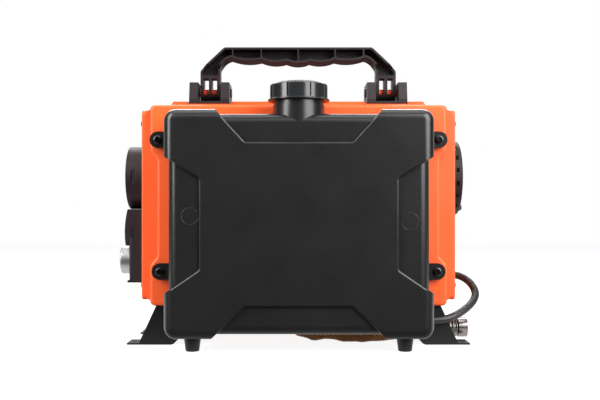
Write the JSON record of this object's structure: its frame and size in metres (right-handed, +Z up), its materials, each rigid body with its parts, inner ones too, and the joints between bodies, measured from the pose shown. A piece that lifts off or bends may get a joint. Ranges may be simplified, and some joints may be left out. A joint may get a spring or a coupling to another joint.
{
  "type": "diesel air heater",
  "caption": "Portable air heater in a moulded case with a slim fuel tank on its back, a folding handle, sheet-metal legs, a hot-air outlet and a sleeved exhaust pipe.",
  "frame": {"origin": "on the floor, in the middle of the four bolt holes of the feet", "axes": "+Z up, +X along the case towards the intake grille, +Y away from the fuel tank"},
  "size_m": [0.4643, 0.2237, 0.379],
  "materials": {
    "orange_case": "satin moulded",
    "tank_black": "satin blow-moulded",
    "handle_black": "satin moulded",
    "pod_black": "satin moulded",
    "pin_orange": "gloss moulded",
    "cap_black": "satin moulded",
    "rubber": "matte",
    "black_steel": "powder coated",
    "screw_steel": "black zinc",
    "bright_steel": "bright",
    "knob_metal": "turned and brushed",
    "sleeve_braid": "braided glass and basalt yarn",
    "cast_aluminium": "cast",
    "lens": "gloss tinted",
    "board": "solder mask",
    "inner_plastic": "moulded",
    "bronze": "sintered"
  },
  "bodies": {
    "case": {"rear_case_shell": "orange_case", "front_case_shell": "orange_case", "left_end_panel": "orange_case", "right_end_panel": "orange_case", "case_screws": "screw_steel", "right_handle_bracket": "handle_black", "left_handle_bracket": "handle_black", "hinge_pins": "pin_orange", "bracket_screws": "screw_steel", "fuel_tank": "tank_black", "tank_screws": "screw_steel", "tank_feet": "rubber", "tank_outlet": "bronze", "fuel_hose": "rubber", "hose_grommet": "rubber", "pipe_clamps": "bright_steel", "rear_right_leg": "black_steel", "rear_left_leg": "black_steel", "front_right_leg": "black_steel", "front_left_leg": "black_steel", "leg_screws": "screw_steel", "outlet_collar": "pod_black", "control_pod": "pod_black", "display_hood": "pod_black", "display_lens": "lens", "controller_board": "board", "intake_grille": "pod_black", "heater_lower_casing": "inner_plastic", "heater_upper_casing": "inner_plastic", "heater_gasket": "rubber", "heat_exchanger": "cast_aluminium", "burner_tube": "bright_steel", "glow_plug": "bright_steel", "overheat_sensor": "inner_plastic", "blower_housing": "cast_aluminium", "motor_plate": "cast_aluminium", "blower_motor": "bright_steel", "motor_bearings": "bronze", "combustion_air_pipe": "rubber", "inner_frame": "black_steel", "fuel_filter": "inner_plastic", "fuel_pump": "bright_steel", "pump_bracket": "rubber", "inner_fuel_lines": "rubber", "exhaust_pipe": "bright_steel", "exhaust_sleeve": "sleeve_braid", "exhaust_hanger": "bright_steel", "power_inlet": "inner_plastic", "heater_control_board": "board", "wiring_loom": "rubber"},
    "handle": {"carry_handle": "handle_black"},
    "cap_seat": {"cap_gasket": "rubber"},
    "cap": {"filler_cap": "cap_black"},
    "louvre": {"outlet_louvre": "pod_black"},
    "encoder": {"encoder_shaft": "bright_steel"},
    "knob": {"control_knob": "knob_metal"},
    "rotor": {"rotor_shaft": "bright_steel", "fan_wheel": "inner_plastic", "combustion_impeller": "cast_aluminium"},
    "plunger": {"pump_plunger": "bright_steel"}
  },
  "joints": [
    {"name": "handle_fold", "type": "hinge", "parent": "case", "child": "handle", "pos_m": [0, 0, 0.322], "axis": [1, 0, 0], "range_deg": [-88, 88]},
    {"name": "cap_lift", "type": "slide", "parent": "case", "child": "cap_seat", "axis": [0, 0, 1], "range_m": [0, 0.018]},
    {"name": "cap_turn", "type": "hinge", "parent": "cap_seat", "child": "cap", "pos_m": [0, -0.112, 0.305], "axis": [0, 0, 1], "range_deg": [0, 1080]},
    {"name": "louvre_turn", "type": "hinge", "parent": "case", "child": "louvre", "pos_m": [-0.21, 0, 0.21], "axis": [-1, 0, 0], "continuous": true},
    {"name": "knob_push", "type": "slide", "parent": "case", "child": "encoder", "axis": [1, 0, 0], "range_m": [0, 0.0012], "stiffness_N_per_m": 1500},
    {"name": "knob_turn", "type": "hinge", "parent": "encoder", "child": "knob", "pos_m": [-0.23, 0, 0.1027], "axis": [-1, 0, 0], "continuous": true},
    {"name": "rotor_spin", "type": "hinge", "parent": "case", "child": "rotor", "pos_m": [0.08, 0, 0.21], "axis": [1, 0, 0], "continuous": true},
    {"name": "pump_stroke", "type": "slide", "parent": "case", "child": "plunger", "axis": [1, 0, 0], "range_m": [0, 0.003], "stiffness_N_per_m": 500}
  ],
  "couplings": [
    {"joint": "cap_lift", "follows": "cap_turn", "m_per_rad": 0.000954}
  ]
}
